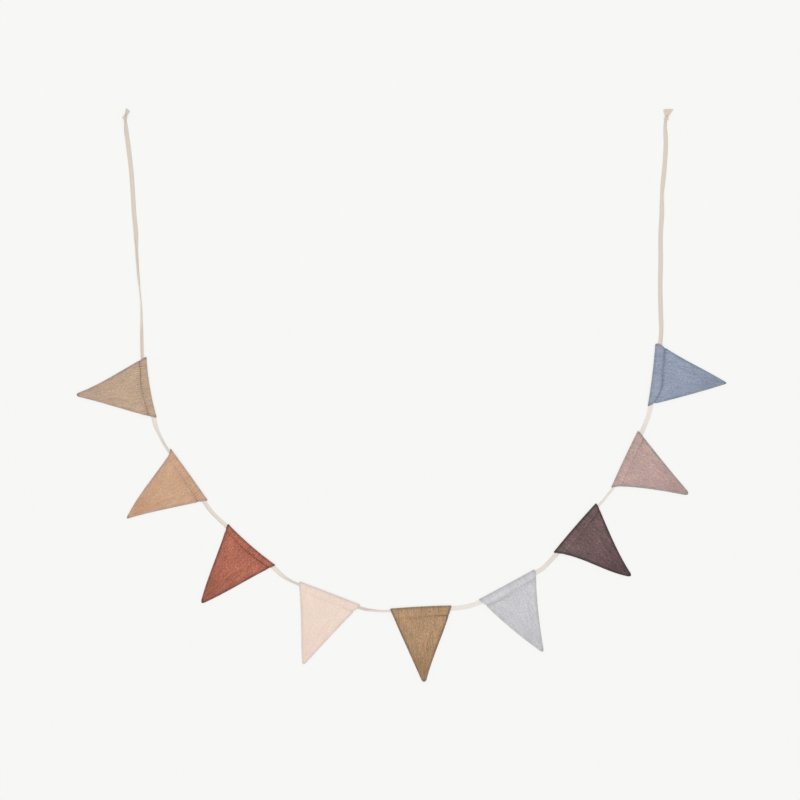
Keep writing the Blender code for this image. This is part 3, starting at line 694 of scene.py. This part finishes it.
def knot_tail(knot):
    """The short end that spreads from the knot, creased lengthwise, with its threads frayed."""
    reach = np.linspace(0, 1, TAIL_ROWS)
    side = np.linspace(-1, 1, TAIL_COLUMNS)
    start = knot.turns[-2].x * knot.squeeze
    wide = knot.tail_neck + (knot.tail_end - knot.tail_neck) * reach ** knot.tail_flare
    out = start + (knot.tail_long - start) * reach
    ends = TAIL_BULGE * np.cos(side * np.pi / 2) + knot.tail_skew * side
    x = out[:, None] + ends[None] * reach[:, None]
    y = wide[:, None] / 2 * side[None]
    folds = TAIL_FOLD * reach[:, None] * np.cos(side * np.pi * knot.tail_folds)[None]
    ribs = TAIL_RIB * np.cos(side * TAIL_RIBS)[None]
    height = TAIL_LOW + TAIL_DROP * (1 - reach[:, None]) ** 2 + folds + ribs
    upper = np.stack([x, y, height + TAIL_THICK / 2], axis=2)
    lower = np.stack([x, y, height - TAIL_THICK / 2], axis=2)
    points, faces = plate(upper, lower)
    grain = np.stack([np.broadcast_to(out[:, None], x.shape), y + TAPE_WIDTH, np.zeros_like(x)], axis=2)
    parts = [(points, faces, np.concatenate([grain.reshape(-1, 3)] * 2))]

    chance = np.random.default_rng(7)
    for across in np.linspace(-0.96, 0.96, FRAY_THREADS):
        k = (across + 1) / 2 * (TAIL_COLUMNS - 1)
        root = np.array([np.interp(k, np.arange(TAIL_COLUMNS), (upper[-1, :, i] + lower[-1, :, i]) / 2)
                         for i in range(3)])
        length = FRAY_LENGTH * chance.uniform(0.4, 1.3)
        aside = across * 0.5 + chance.uniform(-0.35, 0.35)
        droop = chance.uniform(-0.25, 0.2)
        steps = np.linspace(0, 1, 5)[:, None]
        line = root + steps * length * np.array([1.0, aside, droop]) + steps ** 2 * (0, aside * 0.4, -0.2)
        line[:, 2] = np.maximum(line[:, 2], FRAY_RADIUS)
        parts.append(thread(line, FRAY_RADIUS, 6))
    return parts


def thread(line, radius, around):
    """A round thread along a line, tapered at its ends."""
    ways = directions(line)
    acrosses, ups = sideways(ways, (0.0, 0.0, 1.0))
    angles = np.linspace(0, 2 * np.pi, around, endpoint=False)
    share = np.linspace(0, 1, len(line))
    taper = radius * np.sqrt(np.maximum(1 - (2 * share - 1) ** 6, 0.15))
    outline = np.stack([np.cos(angles), np.sin(angles)], axis=1)[None] * taper[:, None, None]
    points, faces = tube(line, acrosses, ups, outline)
    return points, faces, wrapped(run_along(line), angles * radius)


def plate(upper, lower):
    """Points and faces of a closed plate between two grids of points."""
    rows, columns = upper.shape[:2]
    under = rows * columns
    faces = []
    for r in range(rows - 1):
        for c in range(columns - 1):
            a, b = r * columns + c, (r + 1) * columns + c
            faces.append((a, b, b + 1, a + 1))
            faces.append((a + under, a + under + 1, b + under + 1, b + under))
    rim = [r * columns for r in range(rows)]
    rim += [(rows - 1) * columns + c for c in range(1, columns)]
    rim += [r * columns + columns - 1 for r in range(rows - 2, -1, -1)]
    rim += [c for c in range(columns - 2, 0, -1)]
    for a, b in zip(rim, rim[1:] + rim[:1]):
        faces.append((a, a + under, b + under, b))
    return np.concatenate([upper.reshape(-1, 3), lower.reshape(-1, 3)]), faces


def make_knot(knot, material):
    """One tied knot of the tape with its tail."""
    points, faces, grain = joined([knot_strand(knot)] + knot_tail(knot))
    heading = math.radians(knot.heading)
    turn = np.array([[math.cos(heading), math.sin(heading), 0.0],
                     [-math.sin(heading), math.cos(heading), 0.0],
                     [0.0, 0.0, 1.0]])
    points = points @ turn + (knot.x, knot.y - MIDDLE_Y, 0.0)
    points[:, 2] = np.maximum(points[:, 2], 0.02)
    attributes = {"grain": grain, "pale": np.zeros(len(points))}
    piece = new_piece("tied_" + knot.name, points, faces, material, attributes)
    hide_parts(knot.name)
    return piece


def row_places(pennant):
    """How far down the fold each row of points lies, before it is drawn to the stitches."""
    rows = [0.0]
    bands = BANDS + (Band(pennant.tip - TIP_RUN, BODY_STEP), Band(pennant.tip, TIP_STEP))
    for band in bands:
        steps = max(1, round((band.until - rows[-1]) / band.step))
        rows += list(np.linspace(rows[-1], band.until, steps + 1)[1:])
    return np.array(rows)


def column_places():
    """Where each column of points lies across a pennant, from 0 on the left to 1 on the right."""
    even = np.linspace(0, 1, COLUMNS + 1)
    crowded = (1 - np.cos(np.pi * even)) / 2
    return (1 - EDGE_CROWDING) * even + EDGE_CROWDING * crowded


def along_row(values, across):
    """A value that runs smoothly across a pennant through the ones given at ROW_PLACES."""
    curve = smooth_through(list(zip(ROW_PLACES, values)), 10)
    return np.interp(across, curve[:, 0], curve[:, 1])


def fading(distance, full, ends):
    """1 up to the distance full, and smoothly down to 0 at ends."""
    return eased(1.0, 0.0, np.clip((distance - full) / (ends - full), 0, 1))


def crinkle_height(pennant, along, down):
    """Height of the crinkles at places on a pennant, in ridges that come and go."""
    chance = np.random.default_rng(int(pennant.x) + 1000)
    total = np.zeros_like(along)
    for ridges in CRINKLE:
        start, bend, patch_a, patch_b, slope = chance.uniform(0, 2 * np.pi, 5)
        wander = ridges.wander * np.sin(2 * np.pi * down / ridges.over + bend)
        wander = wander + 0.4 * ridges.wander * np.sin(5 * np.pi * down / ridges.over + slope)
        patch = np.sin(along / PATCH_SIZE * 2 + patch_a) * np.sin(down / PATCH_SIZE * 1.6 + patch_b)
        spread = 0.65 + 0.35 * patch
        total += ridges.height * spread * np.sin(2 * np.pi * (along + wander) / ridges.pitch + start)
    return total


def cloth_grid(pennant):
    """Every point of a pennant's cloth, worked out on one grid of rows and columns."""
    sewing = SEWING[pennant.name]
    dye = DYES[pennant.name]
    rows = row_places(pennant)[:, None]
    across = column_places()[None, :]
    row = along_row(sewing.row, across)
    above = rows * row / STITCH_ROW
    below = row + (rows - STITCH_ROW) * (FLAT_FROM - row) / (FLAT_FROM - STITCH_ROW)
    down = np.where(rows <= STITCH_ROW, above, np.where(rows <= FLAT_FROM, below, rows + 0 * across))

    corner = CORNER_ROUND * np.maximum(0.0, 1 - rows / FOLD_ROUND) ** 2
    nick = np.exp(-((rows - STITCH_ROW) / NICK_REACH) ** 2)
    left = side_at(pennant, down, -1) + corner + sewing.nick_left * nick
    right = side_at(pennant, down, 1) - corner - sewing.nick_right * nick
    before_tip = np.minimum((pennant.tip - rows + TIP_BLUNT) / (TIP_RUN + TIP_BLUNT), 1.0)
    width_share = np.sqrt(1 - (1 - before_tip) ** TIP_POWER)
    middle = (left + right) / 2
    along = middle + (left - middle + (right - left) * across) * width_share
    bow = 4 * across * (1 - across) * pennant.fold_bow * np.maximum(0.0, 1 - down / BOW_FADES)
    x, y = on_pennant(pennant, along, down + bow)

    slant = pennant.length / math.hypot(pennant.length, pennant.width / 2)
    half = (right - left) / 2 * width_share
    from_side = (half - np.abs(along - middle)) * slant
    from_rim = np.minimum(from_side, pennant.tip - rows + 0.1)
    round_in = np.sqrt(1 - (1 - np.clip(from_rim / EDGE_ROUND, 0, 1)) ** 2)

    table = np.array(HEIGHTS)
    under = np.interp(rows, table[:, 0], table[:, 1]) + 0 * across
    top = np.interp(rows, table[:, 0], table[:, 2]) + 0 * across
    fold = np.sqrt(np.maximum(1 - (1 - np.minimum(rows / FOLD_ROUND, 1)) ** 2, 0.008))
    top = MID_HEIGHT + (top - MID_HEIGHT) * np.where(rows < FOLD_ROUND, fold, 1.0)
    under = MID_HEIGHT + (under - MID_HEIGHT) * np.where(rows < FOLD_ROUND, fold, 1.0)

    pull = along_row(sewing.pull, across)
    near_row = np.exp(-((rows - STITCH_ROW) / GROOVE_WIDE) ** 2)
    pucker = sewing.pucker_left + (sewing.pucker_right - sewing.pucker_left) * across
    sway = PUCKER_SWAY * np.sin(along / PUCKER_SWAY_OVER + pennant.x)
    wave = np.abs(np.sin(np.pi * along / PUCKER_PITCH + sway))
    reach = np.exp(-np.abs(rows - STITCH_ROW) / PUCKER_REACH) * (1 - near_row)
    seam = np.exp(-((from_rim - SEAM_CREST) / SEAM_WIDE) ** 2)
    seam = seam + 0.6 * np.clip((SEAM_ALLOWANCE - from_rim) / 1.5, 0, 1) * np.clip(from_rim - 1, 0, 1)
    inside = np.clip(from_rim / 5, 0, 1) * np.clip(rows / 5, 0, 1)
    relief = sewing.crinkle * crinkle_height(pennant, along, down) * inside
    relief = relief + PUCKER_HEIGHT * pucker * (wave - 0.5) * reach * np.clip(rows / 4, 0, 1)
    relief = relief + SEAM_HEIGHT * seam * np.where(rows < FLAP_EDGE, 0.4, 1.0)
    top = top + relief + (SLACK_RISE * (1 - pull) - PULL_DEPTH * pull) * near_row

    body = rows >= FLAP_EDGE
    lowered = np.where(body, 0.6 + 0.4 * round_in, 0.86 + 0.14 * round_in)
    top = top * lowered
    under = under + np.where(body, 0.3 * (1 - round_in), 0.0)

    to_row = down - row
    # Painted shade at the rim where the cloth turns under, at the sides and along the rounded fold
    strength = np.where(along < middle, dye.rim_left, dye.rim_right)
    rim = np.maximum(strength * fading(from_rim, RIM_SHADE_FULL, RIM_SHADE_ENDS),
                     dye.rim_fold * fading(down, FOLD_RIM_SHADE_FULL, FOLD_RIM_SHADE_ENDS))
    # The row's thread colour under painted groove shade, where the stitches draw the cloth in
    drawn = GROOVE_SHADE_DEPTH * pull * np.exp(-(to_row / sewing.width) ** 2)
    # A painted highlight along the casing's ridge
    crest = sewing.crest * np.exp(-((down - sewing.ridge) / RIDGE_HIGHLIGHT_WIDE) ** 2)
    # Painted shade in the creases between puckers
    pucker_crease_shade = pucker * (1 - wave) * np.exp(-np.abs(to_row) / PUCKER_REACH)
    to_corner = np.hypot(half - np.abs(along - middle), down)
    end_darkening = fading(np.minimum(to_corner, pennant.tip - down), END_FULL, END_ENDS)
    shade = (1 + RIDGE_HIGHLIGHT_GAIN * crest) * (1 - PUCKER_SHADE * pucker_crease_shade) * (1 - dye.ends * end_darkening)
    deep = 1 - fading(down, TIP_FROM, TIP_FULL)
    return {
        "rows": rows[:, 0], "x": x, "y": y - MIDDLE_Y, "top": top, "under": under, "along": along,
        "down": down, "rim": np.clip(rim, 0, 1), "thread_and_groove_shade": np.clip(drawn, 0, 1), "shade": shade,
        "deep": deep,
    }


def tunnel_heights(rows):
    """Ceiling and floor of the casing's inside at those rows: it closes at its two ends."""
    middle, half = (TUNNEL[0] + TUNNEL[1]) / 2, (TUNNEL[1] - TUNNEL[0]) / 2
    open_share = np.sqrt(np.maximum(1 - np.abs((rows - middle) / half) ** 6, 0.0))
    return MID_HEIGHT + CEILING_RISE * open_share, MID_HEIGHT - FLOOR_DROP * open_share


def make_cloth(pennant, grid, material):
    """One pennant: a closed cloth with the casing's tunnel open at both sides."""
    rows, columns = grid["x"].shape
    inside = np.flatnonzero((grid["rows"] >= TUNNEL[0]) & (grid["rows"] <= TUNNEL[1] + 0.01))
    first, last = inside[0], inside[-1]
    ceiling, floor = tunnel_heights(grid["rows"][inside])
    ceiling[0] = ceiling[-1] = floor[0] = floor[-1] = MID_HEIGHT
    layers = [
        (np.arange(rows), grid["top"]),
        (np.arange(rows), grid["under"]),
        (inside, ceiling[:, None] + 0 * grid["x"][inside]),
        (inside[1:-1], floor[1:-1, None] + 0 * grid["x"][inside[1:-1]]),
    ]
    points, grain, starts, count = [], [], [], 0
    attributes = {name: [] for name in PAINTED}
    for number, (used, heights) in enumerate(layers):
        starts.append(count)
        count += len(used) * columns
        points.append(np.stack([grid["x"][used], grid["y"][used], heights], axis=2).reshape(-1, 3))
        lift = np.full_like(heights, 50.0 * number)
        grain.append(np.stack([grid["along"][used], grid["down"][used], lift], axis=2).reshape(-1, 3))
        for name in PAINTED:
            attributes[name].append(grid[name][used].ravel())

    def corner(layer, r, c):
        if layer == 3 and r in (first, last):
            layer = 2
        skipped = {0: 0, 1: 0, 2: first, 3: first + 1}[layer]
        return starts[layer] + (r - skipped) * columns + c

    faces = []
    whole, tunnel = range(rows - 1), range(first, last)
    for layer, reach in enumerate((whole, whole, tunnel, tunnel)):
        for r in reach:
            for c in range(columns - 1):
                faces.append((corner(layer, r, c), corner(layer, r + 1, c),
                              corner(layer, r + 1, c + 1), corner(layer, r, c + 1)))
    for r in (0, rows - 1):
        for c in range(columns - 1):
            faces.append((corner(0, r, c), corner(0, r, c + 1), corner(1, r, c + 1), corner(1, r, c)))
    for c in (0, columns - 1):
        for r in range(rows - 1):
            top = corner(0, r, c), corner(0, r + 1, c)
            under = corner(1, r, c), corner(1, r + 1, c)
            if first <= r < last:
                faces.append((*top, corner(2, r + 1, c), corner(2, r, c)))
                faces.append((*under, corner(3, r + 1, c), corner(3, r, c)))
            elif r + 1 == first:
                faces.append((*top, corner(2, first, c), *under[::-1]))
            elif r == last:
                faces.append((*top[::-1], corner(2, last, c), *under))
            else:
                faces.append((*top, *under[::-1]))
    attributes = {name: np.concatenate(values) for name, values in attributes.items()}
    attributes["grain"] = np.concatenate(grain)
    cloth = new_piece("cloth_" + pennant.name, np.concatenate(points), faces, material, attributes)
    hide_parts("pennant_" + pennant.name)
    return cloth


def make_stitches(pennant, grid, material):
    """The row of lockstitches that holds the casing, on the front and the back."""
    r = int(np.argmin(np.abs(grid["rows"] - STITCH_ROW)))
    heading = math.radians(pennant.heading)
    aside = np.array([math.sin(heading), -math.cos(heading)])
    parts = []
    for face, side in (("top", 1), ("under", -1)):
        line = np.stack([grid["x"][r], grid["y"][r], grid[face][r]], axis=1)
        run = run_along(line)
        step = STITCH_LENGTH + STITCH_GAP
        count = int((run[-1] - 2 * ROW_MARGIN) / step)
        for i in range(count):
            ends = [(0.0, 0.0)]
            if min(i, count - 1 - i) < BACKSTITCHES:
                ends = [(-0.4, -BACKSTITCH_SHIFT), (0.5, BACKSTITCH_SHIFT)]
            for slide, shift in ends:
                at = ROW_MARGIN + slide + i * step + np.linspace(0, STITCH_LENGTH, 7)
                points = np.stack([np.interp(at, run, line[:, k]) for k in range(3)], axis=1)
                points[:, :2] += aside * shift
                hump = np.sin(np.linspace(0, np.pi, 7))
                points[:, 2] += side * (STITCH_HUMP * hump - STITCH_SINK)
                if side < 0:
                    points[:, 2] = np.maximum(points[:, 2], THREAD_RADIUS)
                parts.append(thread(points, THREAD_RADIUS, 7))
    points, faces, grain = joined(parts)
    stitches = new_piece("stitches_" + pennant.name, points, faces, material, {"grain": grain})
    return stitches


def make_view():
    """The camera, straight above."""
    camera = placed("camera", bpy.data.cameras.new("camera"))
    camera.data.lens = LENS
    camera.data.sensor_width = SENSOR
    camera.data.clip_end = 20.0
    distance = FRAME_PIXELS * PIXEL_SIZE * LENS / SENSOR
    camera.location = [c * MM for c in (*VIEW_CENTRE, distance)]
    bpy.context.scene.camera = camera


def make_room():
    """The pale board that the bunting lies on, even light from all round, and one soft key light."""
    half = FLOOR_SIZE / 2
    data = bpy.data.meshes.new("floor")
    corners = [(x * half * MM, y * half * MM, 0.0) for x, y in ((-1, -1), (1, -1), (1, 1), (-1, 1))]
    data.from_pydata(corners, [], [(0, 1, 2, 3)])
    data.materials.append(floor_paint())
    placed("floor", data)

    world = bpy.data.worlds.new("even_light")
    world.use_nodes = True
    sky = world.node_tree.nodes["Background"]
    sky.inputs["Color"].default_value = linear(SKY_COLOUR)
    sky.inputs["Strength"].default_value = SKY_STRENGTH
    bpy.context.scene.world = world
    bpy.context.scene.view_settings.view_transform = "Standard"

    key = placed("key_light", bpy.data.lights.new("key_light", "SUN"))
    key.data.energy = KEY_STRENGTH
    key.data.angle = math.radians(KEY_SPREAD)
    key.rotation_euler = [math.radians(a) for a in KEY_TILT]


def main():
    make_view()
    tape_finish = cotton_tape()
    knots = [make_knot(knot, tape_finish) for knot in KNOTS]
    make_tape(tape_finish)
    for pennant in PENNANTS:
        grid = cloth_grid(pennant)
        stitches = make_stitches(pennant, grid, sewing_thread(pennant))
        make_cloth(pennant, grid, double_gauze(pennant))
    make_room()


main()
